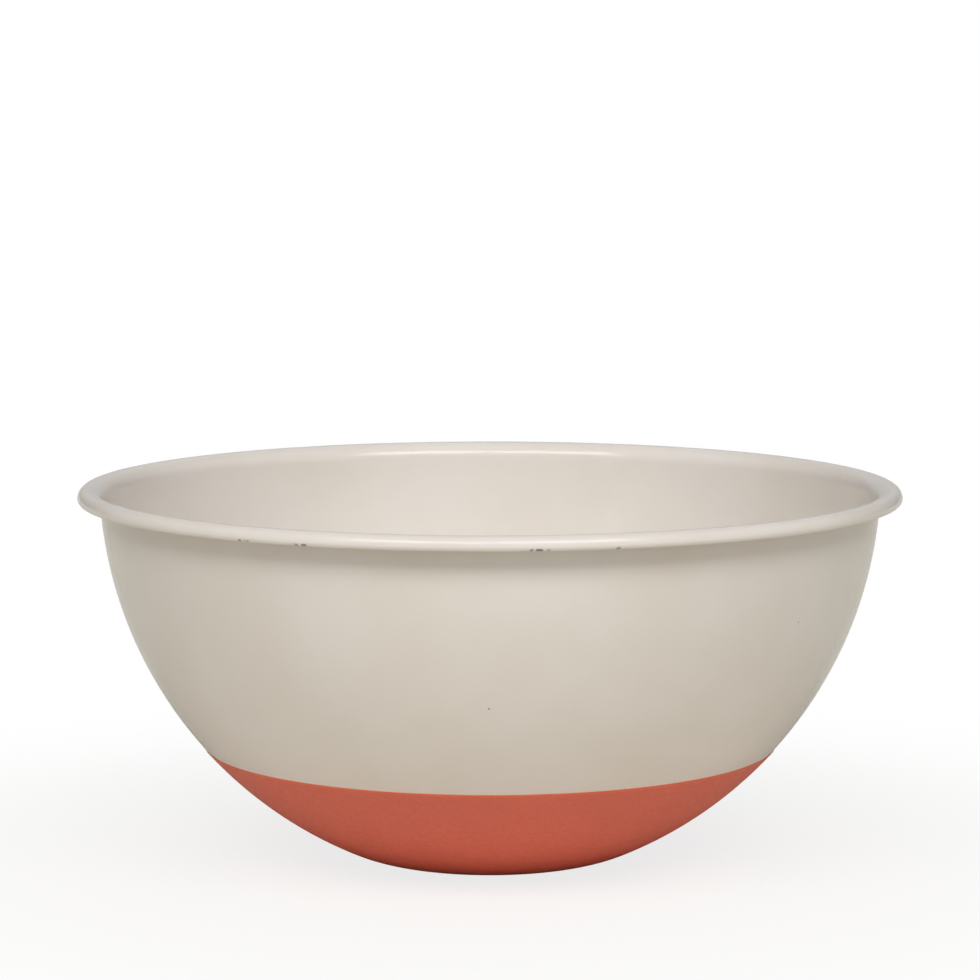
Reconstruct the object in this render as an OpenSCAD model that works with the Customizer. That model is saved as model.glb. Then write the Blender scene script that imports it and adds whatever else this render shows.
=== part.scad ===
// Enamelled steel basin bowl with a rolled lip and a coated base.
// Millimetres. The bowl stands on Z = 0 and is round about the Z axis.

/* [Bowl] */
// Diameter over the rolled lip
rim_d = 280; // [220:1:340]
// Height from the table to the crest of the lip
height = 128; // [100:1:160]
// Diameter of the flat base
foot_d = 62; // [30:1:90]
// Radius of the bend between the flat base and the wall, at the middle of the sheet
heel_r = 47; // [25:1:70]
// Lean of the wall from upright where it meets the lip, in degrees
wall_lean = 3.8; // [0:0.1:10]

/* [Lip] */
// Radius of the bend from the wall up to the crest, over the enamel
lip_in_r = 5.9; // [4:0.1:10]
// Radius of the turn from the crest to the outer side, over the enamel
lip_out_r = 3.3; // [2.4:0.1:5]
// Radius of the curl from the outer side to the sheet's edge, over the enamel
lip_curl_r = 1.8; // [1.7:0.1:4]
// How far the curl goes on below level, in degrees
lip_curl = 45; // [10:1:80]

/* [Sheet and coats] */
// Thickness of the pressed steel sheet
sheet_t = 0.7; // [0.5:0.05:1.2]
// Thickness of the dark ground coat on each side
ground_t = 0.15; // [0.1:0.01:0.25]
// Thickness of the cream enamel on each side
enamel_t = 0.25; // [0.15:0.01:0.4]

/* [Base coat] */
// Thickness of the matt coat on the lower part of the outside
coat_t = 0.25; // [0.2:0.01:0.6]
// Height of the coat's upper edge above the table
coat_h = 39.2; // [20:0.1:90]

/* [Hidden] */
$fn = 360;

// Where the curl takes over from the turn, in degrees above level
curl_from = 5;

// Straight steps that stand for each arc of the section
heel_steps = 8;
wall_steps = 12;
upper_wall_steps = 20;
lip_steps = 12;
edge_steps = 6;

// Depths of the layers from the middle of the sheet, counted outward
steel_d = sheet_t / 2;
ground_d = steel_d + ground_t;
enamel_d = ground_d + enamel_t;
coat_d = enamel_d + coat_t;

// The flat base: its radius and the height of the middle of its sheet
foot_r = foot_d / 2;
foot_z = coat_d;

// The lip: a bend up to the crest, a turn outward, a tighter curl down and the rounded edge at its end
lip_start = 180 - wall_lean;
turn_more = lip_out_r - lip_curl_r;
crest_x = rim_d / 2 - lip_curl_r - turn_more * cos(curl_from);
lip_in_c = [crest_x, height - lip_in_r];
lip_in_mid = lip_in_r - enamel_d;
lip_out_c = [crest_x, height - lip_out_r];
lip_out_mid = lip_out_r - enamel_d;
curl_c = lip_out_c + turn_more * ray(curl_from);
curl_mid = lip_curl_r - enamel_d;
edge_c = curl_c + curl_mid * ray(-lip_curl);
edge_tip = -lip_curl - 90;

// The wall: one arc that leaves the lip at its lean and runs into the bend above the base
wall_top = lip_in_c + lip_in_mid * ray(lip_start);
heel_c = [foot_r, foot_z + heel_r];
rise = wall_top - heel_c;
wall_r = (rise * rise - heel_r * heel_r) / (2 * (rise * ray(-wall_lean) - heel_r));
wall_c = wall_top + wall_r * ray(lip_start);
heel_end = atan2(heel_c.y - wall_c.y, heel_c.x - wall_c.x);

// The base coat's upper edge, rounded over the coat's thickness
coat_seat_r = wall_r + enamel_d;
coat_end = asin((coat_h - wall_c.y) / coat_seat_r) - asin(coat_t / coat_seat_r);
coat_edge_c = wall_c + coat_seat_r * ray(coat_end);

// Unit vector at an angle from level in the section
function ray(angle) = [cos(angle), sin(angle)];

// Points along an arc, without its first one
function arc(centre, radius, a_from, a_to, steps) =
    [for (i = [1:steps]) centre + radius * ray(a_from + (a_to - a_from) * i / steps)];

// A list of points from last to first
function backward(points) =
    [for (i = [len(points) - 1:-1:0]) points[i]];

// The section's line at a depth, from the middle of the base to the base coat's edge
function lower_line(depth) =
    concat(
        [[0, foot_z - depth], [foot_r, foot_z - depth]],
        arc(heel_c, heel_r + depth, -90, heel_end, heel_steps),
        arc(wall_c, wall_r + depth, heel_end, coat_end, wall_steps)
    );

// The section's line at a depth, from the base coat's edge over the lip to the tip of its edge
function upper_line(depth) =
    concat(
        arc(wall_c, wall_r + depth, coat_end, -wall_lean, upper_wall_steps),
        arc(lip_in_c, lip_in_mid - depth, lip_start, 90, lip_steps),
        arc(lip_out_c, lip_out_mid - depth, 90, curl_from, lip_steps),
        arc(curl_c, curl_mid - depth, curl_from, -lip_curl, lip_steps),
        arc(edge_c, abs(depth), depth < 0 ? -lip_curl : -lip_curl - 180, edge_tip, edge_steps)
    );

// The whole line of the section at a depth
function shell_line(depth) = concat(lower_line(depth), upper_line(depth));

// One layer of the bowl between two depths
module layer(d_from, d_to) {
    rotate_extrude()
        polygon(concat(shell_line(d_to), backward(shell_line(d_from))));
}

// Pressed sheet-steel bowl with its edge rolled outward and down
module steel_bowl() {
    color("slategray")
        layer(-steel_d, steel_d);
}

// Dark ground enamel on the inside and over the lip
module inner_ground_coat() {
    color("darkolivegreen")
        layer(-ground_d, -steel_d);
}

// Dark ground enamel on the outside and under the lip
module outer_ground_coat() {
    color("dimgray")
        layer(steel_d, ground_d);
}

// Cream cover enamel on the inside and over the lip
module inner_enamel() {
    color("antiquewhite")
        layer(-enamel_d, -ground_d);
}

// Cream cover enamel on the outside and under the lip
module outer_enamel() {
    color("wheat")
        layer(ground_d, enamel_d);
}

// Matt coral coat that the bowl stands on
module base_coat() {
    rounded_edge = arc(coat_edge_c, coat_t, coat_end, coat_end + 90, edge_steps);
    color("indianred")
        rotate_extrude()
            polygon(concat(lower_line(coat_d), rounded_edge, backward(lower_line(enamel_d))));
}

steel_bowl();
inner_ground_coat();
outer_ground_coat();
inner_enamel();
outer_enamel();
base_coat();
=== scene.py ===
import math
from types import SimpleNamespace

import bmesh
import bpy
from bpy.props import (
    FloatProperty,
    FloatVectorProperty,
    IntProperty,
    PointerProperty,
)
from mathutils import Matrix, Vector


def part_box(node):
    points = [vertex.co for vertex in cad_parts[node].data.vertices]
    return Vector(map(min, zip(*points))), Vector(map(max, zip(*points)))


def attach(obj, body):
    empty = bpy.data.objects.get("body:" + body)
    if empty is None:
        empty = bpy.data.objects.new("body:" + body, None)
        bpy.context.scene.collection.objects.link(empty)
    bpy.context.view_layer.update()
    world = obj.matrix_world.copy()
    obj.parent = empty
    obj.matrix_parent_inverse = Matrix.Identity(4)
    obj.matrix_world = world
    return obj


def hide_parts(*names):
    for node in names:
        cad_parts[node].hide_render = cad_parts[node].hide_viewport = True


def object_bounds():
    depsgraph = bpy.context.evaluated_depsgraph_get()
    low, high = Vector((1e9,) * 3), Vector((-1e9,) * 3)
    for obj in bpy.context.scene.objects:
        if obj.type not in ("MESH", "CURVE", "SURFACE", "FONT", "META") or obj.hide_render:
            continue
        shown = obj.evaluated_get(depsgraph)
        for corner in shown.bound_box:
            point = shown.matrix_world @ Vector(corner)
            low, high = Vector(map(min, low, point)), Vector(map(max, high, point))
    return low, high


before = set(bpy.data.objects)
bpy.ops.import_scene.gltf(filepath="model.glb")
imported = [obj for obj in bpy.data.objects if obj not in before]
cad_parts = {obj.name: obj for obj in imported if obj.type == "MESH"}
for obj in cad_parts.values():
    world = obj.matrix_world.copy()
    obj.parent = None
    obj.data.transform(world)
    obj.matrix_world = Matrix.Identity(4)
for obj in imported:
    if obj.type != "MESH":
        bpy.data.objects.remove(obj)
CAD_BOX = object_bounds()
COAT_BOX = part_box("base_coat")

bl_info = {
    "name": "Enamel basin bowl",
    "version": (1, 0, 0),
    "blender": (4, 5, 0),
    "location": "View3D > Sidebar > Bowl",
    "description": "Glazes, base coat and studio stage for a round enamelled steel basin bowl",
    "category": "Object",
}

MM = 0.001

# Where the lip's turn passes into its curl, and how sharp a bend stays a hard edge in the shading
CURL_FROM = math.radians(5)
CREASE = math.radians(50)

# Height over the lip's lowest point where the burnt marks fade in and are full, and the lip's outer side
MARK_TOP = 1.1 * MM
MARK_FULL = 0.6 * MM
LIP_SIDE = 1.5 * MM

# Depth under the base coat's upper edge where its clearer line fades in and is full
LINE_FROM = 1.3 * MM
LINE_FULL = 0.5 * MM

# Burnt marks: degrees around from the front, length in metres, strength
BURNT_MARKS = (
    (-141.0, 0.0025, 0.9),
    (-34.2, 0.0014, 0.8),
    (-33.1, 0.0030, 0.45),
    (-25.6, 0.0014, 1.0),
    (-24.5, 0.0022, 1.0),
    (5.3, 0.0014, 0.8),
    (6.3, 0.0028, 0.9),
    (7.5, 0.0018, 0.5),
    (16.5, 0.0020, 0.8),
    (112.0, 0.0025, 0.9),
)

# Patches of light, where each edge fades in degrees: lower, upper, inner turn and outer turn from the front
KEY_PANELS = ((35, 38), (54, 58), (0.5, 2.1), (46, 50))
LOW_LIGHT = ((2, 8), (31, 37), (-2, -1), (50, 70))

# Turn from the front where the mirrored backdrop fades in, and its share on the floor and at the sides
BACKDROP_FROM = math.radians(150)
BACKDROP_FULL = math.radians(172)
SIDE_SHARE = 0.3

FLOOR_HALF = 20.0
FLOOR_DROP = 0.1 * MM
CAMERA_PLACE = Vector((0.0, -1.4317, 0.29563))
CAMERA_TARGET = Vector((0.0, 0.0, 0.126))
SENSOR_WIDTH = 36.0


class BowlSizes(bpy.types.PropertyGroup):
    """Sizes of the bowl's section, the same as in the part's source."""

    rim_diameter: FloatProperty(
        name="Rim diameter",
        description="Across the outside of the rolled lip",
        default=CAD_BOX[1][0] - CAD_BOX[0][0],
        unit="LENGTH",
    )
    height: FloatProperty(
        name="Height",
        description="From the table to the crest of the lip",
        default=CAD_BOX[1][2] - CAD_BOX[0][2],
        unit="LENGTH",
    )
    foot_diameter: FloatProperty(
        name="Foot diameter",
        description="Across the flat base",
        default=62 * MM,
        unit="LENGTH",
    )
    heel_radius: FloatProperty(
        name="Heel radius",
        description="Bend between the flat base and the wall, at the middle of the sheet",
        default=47 * MM,
        unit="LENGTH",
    )
    wall_lean: FloatProperty(
        name="Wall lean",
        description="Lean of the wall from upright where it meets the lip",
        default=math.radians(3.8),
        subtype="ANGLE",
    )
    lip_in_radius: FloatProperty(
        name="Lip inner radius",
        description="Bend from the wall up to the lip's crest, over the enamel",
        default=5.9 * MM,
        unit="LENGTH",
    )
    lip_out_radius: FloatProperty(
        name="Lip outer radius",
        description="Turn from the crest to the lip's outer side, over the enamel",
        default=3.3 * MM,
        unit="LENGTH",
    )
    lip_curl_radius: FloatProperty(
        name="Lip curl radius",
        description="Curl from the lip's outer side to the sheet's edge, over the enamel",
        default=1.8 * MM,
        unit="LENGTH",
    )
    lip_curl: FloatProperty(
        name="Lip curl",
        description="How far the curl goes on below level",
        default=math.radians(45),
        subtype="ANGLE",
    )
    sheet_thickness: FloatProperty(
        name="Sheet thickness",
        description="Pressed steel sheet",
        default=0.7 * MM,
        unit="LENGTH",
    )
    ground_thickness: FloatProperty(
        name="Ground coat thickness",
        description="Dark ground enamel on each side of the sheet",
        default=0.15 * MM,
        unit="LENGTH",
    )
    enamel_thickness: FloatProperty(
        name="Enamel thickness",
        description="Cream enamel on each side",
        default=0.25 * MM,
        unit="LENGTH",
    )
    coat_thickness: FloatProperty(
        name="Base coat thickness",
        description="Matt coat on the lower part of the outside",
        default=0.25 * MM,
        unit="LENGTH",
    )
    coat_height: FloatProperty(
        name="Base coat height",
        description="Upper edge of the base coat above the table",
        default=COAT_BOX[1][2],
        unit="LENGTH",
    )
    segments: IntProperty(
        name="Segments",
        description="Steps around the bowl",
        default=360,
        min=64,
        max=480,
    )


class BowlFinishes(bpy.types.PropertyGroup):
    """Colours and gloss of the bowl's surfaces."""

    cream: FloatVectorProperty(
        name="Cream",
        description="Main colour of the cream enamel",
        default=(0.82, 0.765, 0.71),
        subtype="COLOR",
        min=0.0,
        max=1.0,
    )
    cream_shade: FloatVectorProperty(
        name="Cream shade",
        description="Slightly deeper cream where the enamel is thin",
        default=(0.79, 0.73, 0.665),
        subtype="COLOR",
        min=0.0,
        max=1.0,
    )
    burn: FloatVectorProperty(
        name="Burnt marks",
        description="Dark olive of the ground enamel at the marks on the lip's edge",
        default=(0.085, 0.075, 0.05),
        subtype="COLOR",
        min=0.0,
        max=1.0,
    )
    coral: FloatVectorProperty(
        name="Coral",
        description="Main colour of the matt base coat",
        default=(0.77, 0.155, 0.095),
        subtype="COLOR",
        min=0.0,
        max=1.0,
    )
    coral_edge: FloatVectorProperty(
        name="Coral edge",
        description="Clearer orange along the upper edge of the base coat",
        default=(0.82, 0.165, 0.075),
        subtype="COLOR",
        min=0.0,
        max=1.0,
    )
    ground: FloatVectorProperty(
        name="Ground enamel",
        description="Dark olive ground enamel under the cream",
        default=(0.1, 0.09, 0.07),
        subtype="COLOR",
        min=0.0,
        max=1.0,
    )
    steel: FloatVectorProperty(
        name="Steel",
        description="Bare pressed steel under all the coats",
        default=(0.45, 0.45, 0.46),
        subtype="COLOR",
        min=0.0,
        max=1.0,
    )
    enamel_roughness: FloatProperty(
        name="Enamel roughness",
        description="Roughness of the glossy enamel",
        default=0.1,
        min=0.0,
        max=1.0,
        subtype="FACTOR",
    )
    coat_roughness: FloatProperty(
        name="Base coat roughness",
        description="Roughness of the matt base coat",
        default=0.55,
        min=0.0,
        max=1.0,
        subtype="FACTOR",
    )


class BowlStage(bpy.types.PropertyGroup):
    """Light, floor and camera around the bowl."""

    key_strength: FloatProperty(
        name="Key panels",
        description="Strength of the two wide panels high in front",
        default=6.3,
        min=0.0,
    )
    low_strength: FloatProperty(
        name="Low front light",
        description="Strength of the faint wide light in front, below the key panels",
        default=0.39,
        min=0.0,
    )
    ambient: FloatProperty(
        name="Ambient light",
        description="Strength of the even light from all round",
        default=0.15,
        min=0.0,
    )
    mirrored_white: FloatProperty(
        name="Mirrored background",
        description="Share of the white background that shows in reflections",
        default=0.5,
        min=0.0,
        max=1.0,
        subtype="FACTOR",
    )
    floor: FloatVectorProperty(
        name="Floor",
        description="Colour of the pale floor",
        default=(0.8, 0.775, 0.69),
        subtype="COLOR",
        min=0.0,
        max=1.0,
    )
    lens: FloatProperty(
        name="Lens",
        description="Focal length of the camera on a 36 mm sensor, in millimetres",
        default=155.46,
        min=1.0,
    )


def ray(angle):
    """Unit vector of the section at an angle from level."""
    return Vector((math.cos(angle), math.sin(angle)))


def bowl_section(sizes):
    """Depths, centres, radii and angles of the bowl's section, worked out from its sizes."""
    cut = SimpleNamespace()
    cut.ground_d = sizes.sheet_thickness / 2 + sizes.ground_thickness
    cut.enamel_d = cut.ground_d + sizes.enamel_thickness
    cut.coat_d = cut.enamel_d + sizes.coat_thickness
    cut.coat_t = sizes.coat_thickness
    cut.foot_r = sizes.foot_diameter / 2
    cut.foot_z = cut.coat_d

    cut.lean = sizes.wall_lean
    cut.lip_start = math.pi - cut.lean
    cut.curl_end = -sizes.lip_curl
    turn_more = sizes.lip_out_radius - sizes.lip_curl_radius
    crest_x = sizes.rim_diameter / 2 - sizes.lip_curl_radius - turn_more * math.cos(CURL_FROM)
    cut.lip_in_c = Vector((crest_x, sizes.height - sizes.lip_in_radius))
    cut.lip_out_c = Vector((crest_x, sizes.height - sizes.lip_out_radius))
    cut.curl_c = cut.lip_out_c + turn_more * ray(CURL_FROM)
    cut.edge_c = cut.curl_c + (sizes.lip_curl_radius - cut.enamel_d) * ray(cut.curl_end)
    cut.edge_tip = cut.curl_end - math.pi / 2

    wall_top = cut.lip_in_c + (sizes.lip_in_radius - cut.enamel_d) * ray(cut.lip_start)
    cut.heel_r = sizes.heel_radius
    cut.heel_c = Vector((cut.foot_r, cut.foot_z + cut.heel_r))
    rise = wall_top - cut.heel_c
    spare = rise.dot(ray(-cut.lean)) - cut.heel_r
    cut.wall_r = (rise.dot(rise) - cut.heel_r ** 2) / (2 * spare)
    cut.wall_c = wall_top + cut.wall_r * ray(cut.lip_start)
    inward = cut.heel_c - cut.wall_c
    cut.heel_end = math.atan2(inward.y, inward.x)

    seat_r = cut.wall_r + cut.enamel_d
    cut.coat_end = math.asin((sizes.coat_height - cut.wall_c.y) / seat_r) - math.asin(cut.coat_t / seat_r)
    cut.coat_edge_c = cut.wall_c + seat_r * ray(cut.coat_end)
    return cut


def shell_arcs(cut, depth):
    """The arcs of the section at a depth: centre, angle at the start, angle at the end, steps."""
    edge_from = cut.curl_end if depth < 0 else cut.curl_end - math.pi
    return [
        (cut.heel_c, -math.pi / 2, cut.heel_end, 10),
        (cut.wall_c, cut.heel_end, -cut.lean, 44),
        (cut.lip_in_c, cut.lip_start, math.pi / 2, 18),
        (cut.lip_out_c, math.pi / 2, CURL_FROM, 12),
        (cut.curl_c, CURL_FROM, cut.curl_end, 16),
        (cut.edge_c, edge_from, cut.edge_tip, 8),
    ]


def coat_arcs(cut):
    """The arcs of the section of the base coat, from its flat base to its upper edge."""
    return [
        (cut.heel_c, -math.pi / 2, cut.heel_end, 12),
        (cut.wall_c, cut.heel_end, cut.coat_end, 20),
    ]


def first_point(bm, x, z):
    """Starts a line of the section at a point."""
    return bmesh.ops.create_vert(bm, co=(x, 0.0, z))["vert"][0]


def straight_on(bm, end, x, z):
    """Draws the line straight on to a point and returns its new end."""
    new_end = bmesh.ops.extrude_vert_indiv(bm, verts=[end])["verts"][0]
    new_end.co = (x, 0.0, z)
    return new_end


def sweep_on(bm, end, centre, angle, steps):
    """Carries the line on around a centre by an angle and returns its new end."""
    swept = bmesh.ops.spin(
        bm,
        geom=[end],
        cent=(centre.x, 0.0, centre.y),
        axis=(0.0, -1.0, 0.0),
        angle=angle,
        steps=steps,
        use_merge=False,
        use_duplicate=False,
    )
    return [item for item in swept["geom_last"] if isinstance(item, bmesh.types.BMVert)][0]


def draw_out(bm, cut, depth, arcs):
    """Draws the section's line at a depth from the axis outward along its arcs."""
    z = cut.foot_z - depth
    end = first_point(bm, 0.0, z)
    end = straight_on(bm, end, cut.foot_r, z)
    for centre, start, stop, steps in arcs:
        end = sweep_on(bm, end, centre, stop - start, steps)
    return end


def draw_back(bm, end, cut, depth, arcs):
    """Draws the section's line at a depth from its outer end back to the axis."""
    for centre, start, stop, steps in reversed(arcs):
        end = sweep_on(bm, end, centre, start - stop, max(4, steps // 2))
    return straight_on(bm, end, 0.0, cut.foot_z - depth)


def turn_on_axis(bm, segments):
    """Turns the drawn section once around the bowl's axis into a closed solid."""
    bmesh.ops.spin(
        bm,
        geom=bm.verts[:] + bm.edges[:],
        cent=(0.0, 0.0, 0.0),
        axis=(0.0, 0.0, 1.0),
        angle=2 * math.pi,
        steps=segments,
        use_merge=True,
        use_duplicate=False,
    )
    bmesh.ops.remove_doubles(bm, verts=bm.verts, dist=1e-6)
    bmesh.ops.recalc_face_normals(bm, faces=bm.faces)
    for edge in bm.edges:
        if len(edge.link_faces) == 2 and edge.calc_face_angle() > CREASE:
            edge.smooth = False


def finished_piece(bm, name, material):
    """Makes a smooth-shaded object of the bmesh, with its material."""
    mesh = bpy.data.meshes.new(name)
    bm.to_mesh(mesh)
    bm.free()
    mesh.shade_smooth()
    mesh.materials.append(material)
    piece = bpy.data.objects.new(name, mesh)
    bpy.context.scene.collection.objects.link(piece)
    return piece


def enamel_shell(sizes, name, side, material):
    """The cream glaze on one side of the sheet: -1 inside, 1 outside."""
    cut = bowl_section(sizes)
    bm = bmesh.new()
    seen = side * cut.enamel_d
    seated = side * cut.ground_d
    end = draw_out(bm, cut, seen, shell_arcs(cut, seen))
    tip = cut.edge_c + cut.ground_d * ray(cut.edge_tip)
    end = straight_on(bm, end, tip.x, tip.y)
    draw_back(bm, end, cut, seated, shell_arcs(cut, seated))
    turn_on_axis(bm, sizes.segments)
    return finished_piece(bm, name, material)


def coat_shell(sizes, name, material):
    """The matt coat on the lower part of the outside, with a rounded upper edge."""
    cut = bowl_section(sizes)
    bm = bmesh.new()
    end = draw_out(bm, cut, cut.coat_d, coat_arcs(cut))
    end = sweep_on(bm, end, cut.coat_edge_c, math.pi / 2, 5)
    end = straight_on(bm, end, cut.coat_edge_c.x, cut.coat_edge_c.y)
    draw_back(bm, end, cut, cut.enamel_d, coat_arcs(cut))
    turn_on_axis(bm, sizes.segments)
    return finished_piece(bm, name, material)


def new_material(name):
    """A node material with an empty tree, its output and a principled shader."""
    material = bpy.data.materials.new(name)
    material.use_nodes = True
    nodes = material.node_tree.nodes
    nodes.clear()
    output = nodes.new("ShaderNodeOutputMaterial")
    shader = nodes.new("ShaderNodeBsdfPrincipled")
    material.node_tree.links.new(shader.outputs["BSDF"], output.inputs["Surface"])
    return material, shader


def add_node(material, kind, **settings):
    """Adds a node to the material and sets its properties."""
    made = material.node_tree.nodes.new(kind)
    for key, value in settings.items():
        setattr(made, key, value)
    return made


def join(material, source, target):
    """Links an output socket to an input socket."""
    material.node_tree.links.new(source, target)


def place(material):
    """Object coordinates of the surface."""
    return add_node(material, "ShaderNodeTexCoord").outputs["Object"]


def noise(material, where, scale, detail=2.0, rough=0.5):
    """Soft noise over the surface, as a value from 0 to 1."""
    made = add_node(material, "ShaderNodeTexNoise")
    made.inputs["Scale"].default_value = scale
    made.inputs["Detail"].default_value = detail
    made.inputs["Roughness"].default_value = rough
    join(material, where, made.inputs["Vector"])
    return made.outputs["Fac"]


def spread(material, value, low, high, to_low=0.0, to_high=1.0):
    """Maps a range of a value to another range, held at its ends."""
    made = add_node(material, "ShaderNodeMapRange", interpolation_type="SMOOTHSTEP")
    made.inputs["From Min"].default_value = low
    made.inputs["From Max"].default_value = high
    made.inputs["To Min"].default_value = to_low
    made.inputs["To Max"].default_value = to_high
    join(material, value, made.inputs["Value"])
    return made.outputs["Result"]


def calc(material, operation, first, second=None):
    """One step of arithmetic between sockets or plain numbers."""
    made = add_node(material, "ShaderNodeMath", operation=operation)
    for socket, value in zip(made.inputs, (first, second)):
        if value is None:
            continue
        if isinstance(value, (int, float)):
            socket.default_value = value
        else:
            join(material, value, socket)
    return made.outputs["Value"]


def blend_colour(material, share, first, second):
    """Mixes two colours, given as sockets or as plain colours, by a share from 0 to 1."""
    made = add_node(material, "ShaderNodeMix", data_type="RGBA")
    join(material, share, made.inputs["Factor"])
    for socket, value in ((made.inputs[6], first), (made.inputs[7], second)):
        if isinstance(value, bpy.types.NodeSocket):
            join(material, value, socket)
        else:
            socket.default_value = (*value, 1.0)
    return made.outputs[2]


def bump(material, height, strength, distance, under=None):
    """Raises the surface a little by a height, on top of another bump."""
    made = add_node(material, "ShaderNodeBump")
    made.inputs["Strength"].default_value = strength
    made.inputs["Distance"].default_value = distance
    join(material, height, made.inputs["Height"])
    if under is not None:
        join(material, under, made.inputs["Normal"])
    return made.outputs["Normal"]


def lip_zone(material, sizes, where):
    """Angle around the axis from the front, and a share that rises toward the lip's lower edge."""
    cut = bowl_section(sizes)
    split = add_node(material, "ShaderNodeSeparateXYZ")
    join(material, where, split.inputs["Vector"])
    x, y, z = split.outputs
    around = calc(material, "ARCTAN2", x, calc(material, "MULTIPLY", y, -1.0))
    flat = add_node(material, "ShaderNodeCombineXYZ")
    join(material, x, flat.inputs["X"])
    join(material, y, flat.inputs["Y"])
    length = add_node(material, "ShaderNodeVectorMath", operation="LENGTH")
    join(material, flat.outputs["Vector"], length.inputs[0])
    crest_x = cut.lip_out_c.x
    outside = spread(material, length.outputs["Value"], crest_x, crest_x + LIP_SIDE)
    low = cut.edge_c.y - cut.enamel_d
    edge = spread(material, z, low + MARK_TOP, low + MARK_FULL)
    return around, calc(material, "MULTIPLY", edge, outside)


def burnt_marks(material, sizes, where, around, edge):
    """Share of burnt ground enamel: short dashes along the lower edge of the lip."""
    dashes = None
    for degrees, length, strength in BURNT_MARKS:
        away = calc(material, "ABSOLUTE", calc(material, "SUBTRACT", around, math.radians(degrees)))
        half = length / sizes.rim_diameter
        dash = spread(material, away, 0.5 * half, 1.1 * half, strength, 0.0)
        dashes = dash if dashes is None else calc(material, "MAXIMUM", dashes, dash)
    patchy = noise(material, where, 1600.0, detail=3.0, rough=0.6)
    likely = calc(material, "MULTIPLY", dashes, edge)
    ragged = calc(material, "MULTIPLY", likely, spread(material, patchy, 0.3, 0.62, 0.4, 1.2))
    return spread(material, ragged, 0.2, 0.8, 0.0, 0.85)


def cream_enamel(name, sizes, finishes):
    """Glossy cream enamel with soft cloudiness, fine waves, sparse specks and burnt marks at the lip."""
    material, shader = new_material(name)
    where = place(material)

    cloud = spread(material, noise(material, where, 24.0, detail=3.0), 0.3, 0.7)
    colour = blend_colour(material, cloud, finishes.cream_shade, finishes.cream)

    cells = add_node(material, "ShaderNodeTexVoronoi")
    cells.inputs["Scale"].default_value = 70.0
    join(material, where, cells.inputs["Vector"])
    picked = add_node(material, "ShaderNodeSeparateColor")
    join(material, cells.outputs["Color"], picked.inputs["Color"])
    rare = spread(material, picked.outputs["Red"], 0.955, 0.96)
    dot = spread(material, cells.outputs["Distance"], 0.034, 0.018)
    speck = calc(material, "MULTIPLY", rare, dot)
    colour = blend_colour(material, calc(material, "MULTIPLY", speck, 0.55), colour, finishes.burn)

    around, edge = lip_zone(material, sizes, where)
    burnt = burnt_marks(material, sizes, where, around, edge)
    colour = blend_colour(material, calc(material, "MULTIPLY", burnt, 0.9), colour, finishes.burn)
    join(material, colour, shader.inputs["Base Color"])

    hazy = noise(material, where, 40.0, detail=2.0)
    low = finishes.enamel_roughness * 0.8
    high = finishes.enamel_roughness * 1.25
    gloss = spread(material, hazy, 0.3, 0.7, low, high)
    roughness = calc(material, "ADD", gloss, calc(material, "MULTIPLY", burnt, 0.3))
    join(material, roughness, shader.inputs["Roughness"])
    shader.inputs["IOR"].default_value = 1.4

    waves = bump(material, noise(material, where, 55.0, detail=1.0), 0.12, 0.4 * MM)
    peel = bump(material, noise(material, where, 420.0, detail=1.0), 0.05, 0.06 * MM, waves)
    pimples = bump(material, speck, 0.4, 0.15 * MM, peel)
    join(material, pimples, shader.inputs["Normal"])
    return material


def coral_coat(name, sizes, finishes):
    """Matt coral coat with a fine leathery grain and a clearer line along its upper edge."""
    material, shader = new_material(name)
    where = place(material)
    split = add_node(material, "ShaderNodeSeparateXYZ")
    join(material, where, split.inputs["Vector"])

    cloud = spread(material, noise(material, where, 35.0, detail=3.0), 0.3, 0.7)
    darker = tuple(0.95 * part for part in finishes.coral)
    colour = blend_colour(material, cloud, darker, finishes.coral)

    grain = noise(material, where, 620.0, detail=3.0, rough=0.6)
    cells = add_node(material, "ShaderNodeTexVoronoi")
    cells.inputs["Scale"].default_value = 480.0
    join(material, where, cells.inputs["Vector"])
    pores = cells.outputs["Distance"]
    shade = spread(material, grain, 0.3, 0.7)
    dusky = tuple(0.86 * part for part in finishes.coral)
    colour = blend_colour(material, calc(material, "MULTIPLY", shade, 0.35), colour, dusky)

    top = sizes.coat_height
    edge = spread(material, split.outputs["Z"], top - LINE_FROM, top - LINE_FULL)
    colour = blend_colour(material, edge, colour, finishes.coral_edge)
    join(material, colour, shader.inputs["Base Color"])

    rough = finishes.coat_roughness
    join(material, spread(material, grain, 0.3, 0.7, rough * 0.9, rough * 1.1), shader.inputs["Roughness"])
    shader.inputs["IOR"].default_value = 1.45

    leather = bump(material, pores, 0.35, 0.25 * MM)
    fine = bump(material, grain, 0.25, 0.2 * MM, leather)
    join(material, fine, shader.inputs["Normal"])
    return material


def ground_enamel(name, finishes):
    """Dark olive ground enamel with fine lighter flecks."""
    material, shader = new_material(name)
    where = place(material)
    fleck = spread(material, noise(material, where, 260.0, detail=3.0), 0.45, 0.75)
    lighter = tuple(min(1.0, 1.7 * part) for part in finishes.ground)
    join(material, blend_colour(material, fleck, finishes.ground, lighter), shader.inputs["Base Color"])
    join(material, spread(material, fleck, 0.0, 1.0, 0.2, 0.35), shader.inputs["Roughness"])
    join(material, bump(material, fleck, 0.2, 0.1 * MM), shader.inputs["Normal"])
    return material


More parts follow.
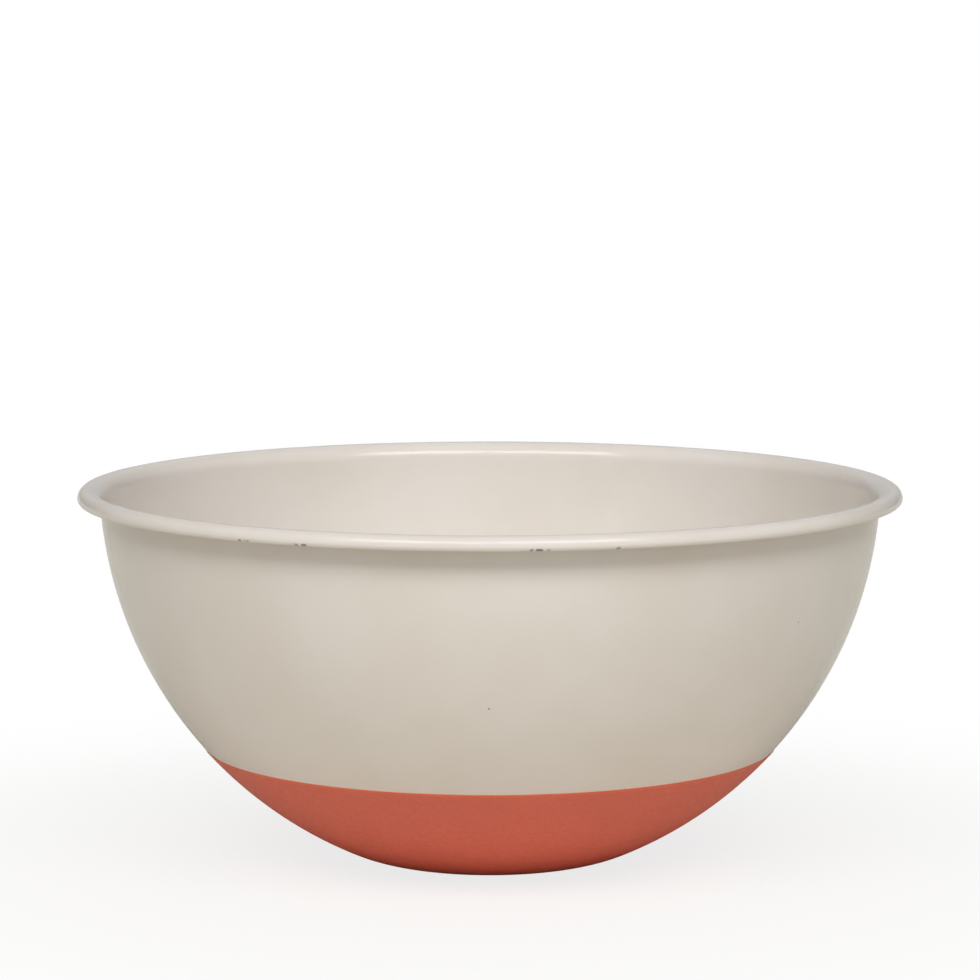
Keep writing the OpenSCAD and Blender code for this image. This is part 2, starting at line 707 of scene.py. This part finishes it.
def pressed_steel(name, finishes):
    """Bare pressed steel with faint drawing lines up the wall."""
    material, shader = new_material(name)
    where = place(material)
    stretch = add_node(material, "ShaderNodeMapping")
    stretch.inputs["Scale"].default_value = (1.0, 1.0, 0.05)
    join(material, where, stretch.inputs["Vector"])
    lines = noise(material, stretch.outputs["Vector"], 700.0, detail=3.0)
    darker = tuple(0.8 * part for part in finishes.steel)
    share = spread(material, lines, 0.3, 0.7)
    join(material, blend_colour(material, share, darker, finishes.steel), shader.inputs["Base Color"])
    join(material, spread(material, lines, 0.3, 0.7, 0.3, 0.45), shader.inputs["Roughness"])
    join(material, bump(material, lines, 0.1, 0.05 * MM), shader.inputs["Normal"])
    shader.inputs["Metallic"].default_value = 1.0
    return material


def pale_floor(name, colour, mirrored_white):
    """Pale floor, mostly white to the camera, that keeps some of the bowl's shadow near it."""
    material, shader = new_material(name)
    nodes = material.node_tree.nodes
    where = place(material)
    cloud = spread(material, noise(material, where, 3.0), 0.3, 0.7)
    paler = tuple(min(1.0, 1.02 * part) for part in colour)
    join(material, blend_colour(material, cloud, colour, paler), shader.inputs["Base Color"])
    shader.inputs["Roughness"].default_value = 0.9
    shader.inputs["Specular IOR Level"].default_value = 0.1
    white = add_node(material, "ShaderNodeEmission")
    white.inputs["Color"].default_value = (1.0, 1.0, 1.0, 1.0)
    white.inputs["Strength"].default_value = 1.0
    path = add_node(material, "ShaderNodeLightPath")
    mirrored = calc(material, "MAXIMUM", path.outputs["Is Glossy Ray"], path.outputs["Is Transmission Ray"])
    away = add_node(material, "ShaderNodeVectorMath", operation="LENGTH")
    join(material, where, away.inputs[0])
    open_floor = spread(material, away.outputs["Value"], 0.1, 0.6, 0.0, SIDE_SHARE * mirrored_white)
    mirrored = calc(material, "MULTIPLY", mirrored, open_floor)
    near = spread(material, away.outputs["Value"], 0.05, 0.35, 0.8, 1.0)
    seen = calc(material, "MULTIPLY", path.outputs["Is Camera Ray"], near)
    mix = add_node(material, "ShaderNodeMixShader")
    join(material, calc(material, "MAXIMUM", seen, mirrored), mix.inputs["Fac"])
    join(material, shader.outputs["BSDF"], mix.inputs[1])
    join(material, white.outputs["Emission"], mix.inputs[2])
    output = [item for item in nodes if item.type == "OUTPUT_MATERIAL"][0]
    join(material, mix.outputs["Shader"], output.inputs["Surface"])
    return material


def settle(piece, node):
    """Lets a finished piece stand for its CAD node."""
    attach(piece, "root")
    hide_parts(node)


class BOWL_OT_inside_enamel(bpy.types.Operator):
    """Makes the cream enamel on the inside and over the crest of the lip"""

    bl_idname = "bowl.inside_enamel"
    bl_label = "Inside enamel"

    def execute(self, context):
        scene = context.scene
        material = cream_enamel("cream_enamel_inside", scene.bowl_sizes, scene.bowl_finishes)
        piece = enamel_shell(scene.bowl_sizes, "inside_glaze", -1, material)
        settle(piece, "inner_enamel")
        return {"FINISHED"}


class BOWL_OT_outside_enamel(bpy.types.Operator):
    """Makes the cream enamel on the outside and under the lip"""

    bl_idname = "bowl.outside_enamel"
    bl_label = "Outside enamel"

    def execute(self, context):
        scene = context.scene
        material = cream_enamel("cream_enamel_outside", scene.bowl_sizes, scene.bowl_finishes)
        piece = enamel_shell(scene.bowl_sizes, "outside_glaze", 1, material)
        settle(piece, "outer_enamel")
        return {"FINISHED"}


class BOWL_OT_base_coat(bpy.types.Operator):
    """Makes the matt coral coat that the bowl stands on"""

    bl_idname = "bowl.base_coat"
    bl_label = "Base coat"

    def execute(self, context):
        scene = context.scene
        material = coral_coat("coral_coat", scene.bowl_sizes, scene.bowl_finishes)
        piece = coat_shell(scene.bowl_sizes, "coral_base", material)
        settle(piece, "base_coat")
        return {"FINISHED"}


class BOWL_OT_hidden_layers(bpy.types.Operator):
    """Gives the steel sheet and the dark ground coats their finishes"""

    bl_idname = "bowl.hidden_layers"
    bl_label = "Hidden layers"

    def execute(self, context):
        finishes = context.scene.bowl_finishes
        ground = ground_enamel("ground_enamel", finishes)
        steel = pressed_steel("pressed_steel", finishes)
        layers = {"steel_bowl": steel, "inner_ground_coat": ground, "outer_ground_coat": ground}
        for name, material in layers.items():
            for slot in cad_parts[name].material_slots:
                slot.material = material
        return {"FINISHED"}


class BOWL_OT_stage(bpy.types.Operator):
    """Sets up the floor, the studio light and the camera"""

    bl_idname = "bowl.stage"
    bl_label = "Stage"

    def execute(self, context):
        stage = context.scene.bowl_stage
        lay_floor(stage)
        light_world(stage)
        aim_camera(stage)
        context.scene.view_settings.view_transform = "Standard"
        return {"FINISHED"}


def lay_floor(stage):
    """Lays the pale floor under the bowl."""
    bm = bmesh.new()
    bmesh.ops.create_grid(bm, x_segments=1, y_segments=1, size=FLOOR_HALF)
    bmesh.ops.translate(bm, verts=bm.verts, vec=(0.0, 0.0, -FLOOR_DROP))
    mesh = bpy.data.meshes.new("floor")
    bm.to_mesh(mesh)
    bm.free()
    mesh.materials.append(pale_floor("pale_floor", stage.floor, stage.mirrored_white))
    floor = bpy.data.objects.new("floor", mesh)
    bpy.context.scene.collection.objects.link(floor)


def patch(world, up, around, edges):
    """A soft-edged patch of light, the same on both sides of the front, from its edges in degrees."""
    lower, upper, inner, outer = edges
    fades = ((up, lower, 0.0), (up, upper, 1.0), (around, inner, 0.0), (around, outer, 1.0))
    shares = [
        spread(world, value, math.radians(start), math.radians(stop), low, 1.0 - low)
        for value, (start, stop), low in fades
    ]
    patch_share = shares[0]
    for share in shares[1:]:
        patch_share = calc(world, "MULTIPLY", patch_share, share)
    return patch_share


def light_world(stage):
    """Two panels high in front and faint light elsewhere, white to the camera and paler in reflections."""
    world = bpy.data.worlds.new("studio")
    bpy.context.scene.world = world
    world.use_nodes = True
    split = add_node(world, "ShaderNodeSeparateXYZ")
    join(world, place(world), split.inputs["Vector"])
    x, y, z = split.outputs
    up = calc(world, "ARCSINE", z)
    around = calc(world, "ABSOLUTE", calc(world, "ARCTAN2", x, calc(world, "MULTIPLY", y, -1.0)))
    panels = patch(world, up, around, KEY_PANELS)
    low = patch(world, up, around, LOW_LIGHT)
    light = calc(world, "ADD", calc(world, "MULTIPLY", panels, stage.key_strength), stage.ambient)
    light = calc(world, "ADD", light, calc(world, "MULTIPLY", low, stage.low_strength))

    path = add_node(world, "ShaderNodeLightPath")
    mirrored = calc(world, "MAXIMUM", path.outputs["Is Glossy Ray"], path.outputs["Is Transmission Ray"])
    behind = spread(world, around, BACKDROP_FROM, BACKDROP_FULL, SIDE_SHARE, 1.0)
    paler = calc(world, "MULTIPLY", calc(world, "MULTIPLY", mirrored, behind), stage.mirrored_white)
    white = calc(world, "MAXIMUM", path.outputs["Is Camera Ray"], paler)
    background = world.node_tree.nodes["Background"]
    background.inputs["Color"].default_value = (1.0, 1.0, 1.0, 1.0)
    join(world, calc(world, "MAXIMUM", light, white), background.inputs["Strength"])


def aim_camera(stage):
    """Places the camera at the photograph's viewing angle."""
    data = bpy.data.cameras.new("camera")
    data.sensor_width = SENSOR_WIDTH
    data.lens = stage.lens
    data.clip_start = 0.05
    data.clip_end = 100.0
    camera = bpy.data.objects.new("camera", data)
    camera.location = CAMERA_PLACE
    camera.rotation_euler = (CAMERA_TARGET - CAMERA_PLACE).to_track_quat("-Z", "Y").to_euler()
    bpy.context.scene.collection.objects.link(camera)
    bpy.context.scene.camera = camera


class BOWL_PT_pieces(bpy.types.Panel):
    """Lists the bowl's sizes, finishes and pieces"""

    bl_idname = "BOWL_PT_pieces"
    bl_label = "Enamel basin bowl"
    bl_space_type = "VIEW_3D"
    bl_region_type = "UI"
    bl_category = "Bowl"

    def draw(self, context):
        layout = self.layout
        for group in (context.scene.bowl_sizes, context.scene.bowl_finishes, context.scene.bowl_stage):
            box = layout.box()
            for key in group.__annotations__:
                box.prop(group, key)
        for operator in OPERATORS:
            layout.operator(operator.bl_idname)


OPERATORS = (
    BOWL_OT_inside_enamel,
    BOWL_OT_outside_enamel,
    BOWL_OT_base_coat,
    BOWL_OT_hidden_layers,
    BOWL_OT_stage,
)
CLASSES = (BowlSizes, BowlFinishes, BowlStage, *OPERATORS, BOWL_PT_pieces)


def register():
    """Registers the classes and the settings on the scene."""
    for item in CLASSES:
        bpy.utils.register_class(item)
    bpy.types.Scene.bowl_sizes = PointerProperty(type=BowlSizes)
    bpy.types.Scene.bowl_finishes = PointerProperty(type=BowlFinishes)
    bpy.types.Scene.bowl_stage = PointerProperty(type=BowlStage)


def unregister():
    """Removes the settings and the classes."""
    del bpy.types.Scene.bowl_stage
    del bpy.types.Scene.bowl_finishes
    del bpy.types.Scene.bowl_sizes
    for item in reversed(CLASSES):
        bpy.utils.unregister_class(item)


def main():
    """Builds the whole scene."""
    register()
    bpy.ops.bowl.inside_enamel()
    bpy.ops.bowl.outside_enamel()
    bpy.ops.bowl.base_coat()
    bpy.ops.bowl.hidden_layers()
    bpy.ops.bowl.stage()


if __name__ == "__main__":
    main()
